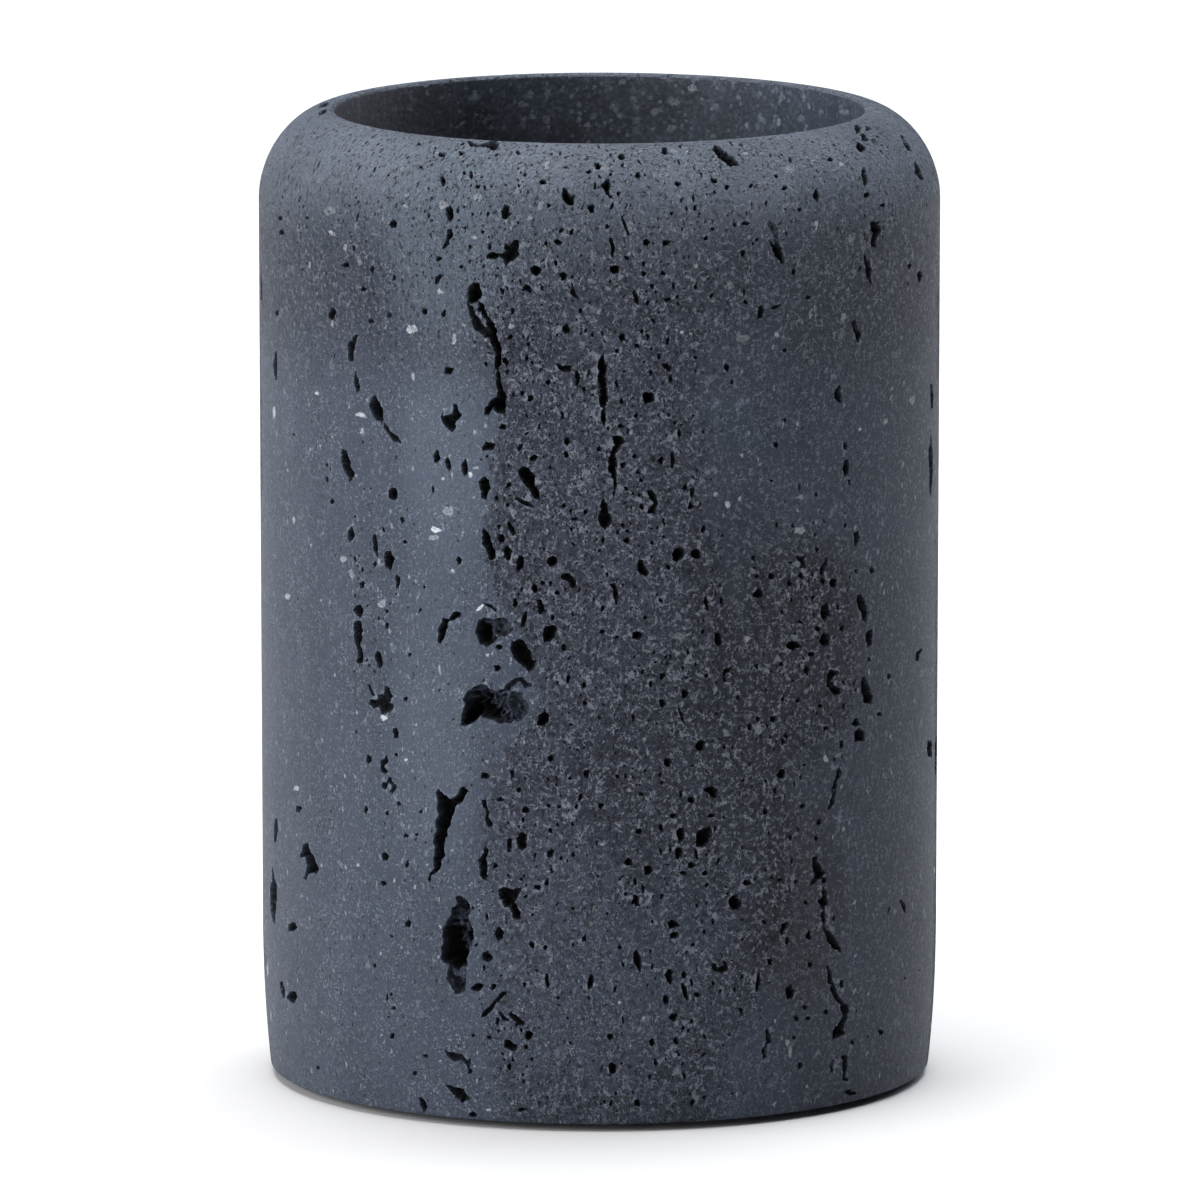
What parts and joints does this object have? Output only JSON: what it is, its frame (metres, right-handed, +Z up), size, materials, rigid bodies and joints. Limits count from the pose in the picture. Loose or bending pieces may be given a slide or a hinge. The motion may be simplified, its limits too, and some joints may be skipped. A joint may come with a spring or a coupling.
{
  "type": "toothbrush holder",
  "caption": "Open cylindrical toothbrush tumbler of dark porous stone with a rounded shoulder, a smooth round bore and an anti-slip pad seated in its base.",
  "frame": {"origin": "middle of the pad's underside, where the tumbler stands", "axes": "+Z up along the bore's axis, -Y towards the side shown in the picture, +X to the right of it"},
  "size_m": [0.0752, 0.0752, 0.1078],
  "materials": {
    "stone": "matte",
    "adhesive": "satin",
    "pad_foam": "matte"
  },
  "bodies": {
    "root": {"tumbler_body": "stone", "pad_adhesive": "adhesive", "base_pad": "pad_foam"}
  },
  "joints": []
}
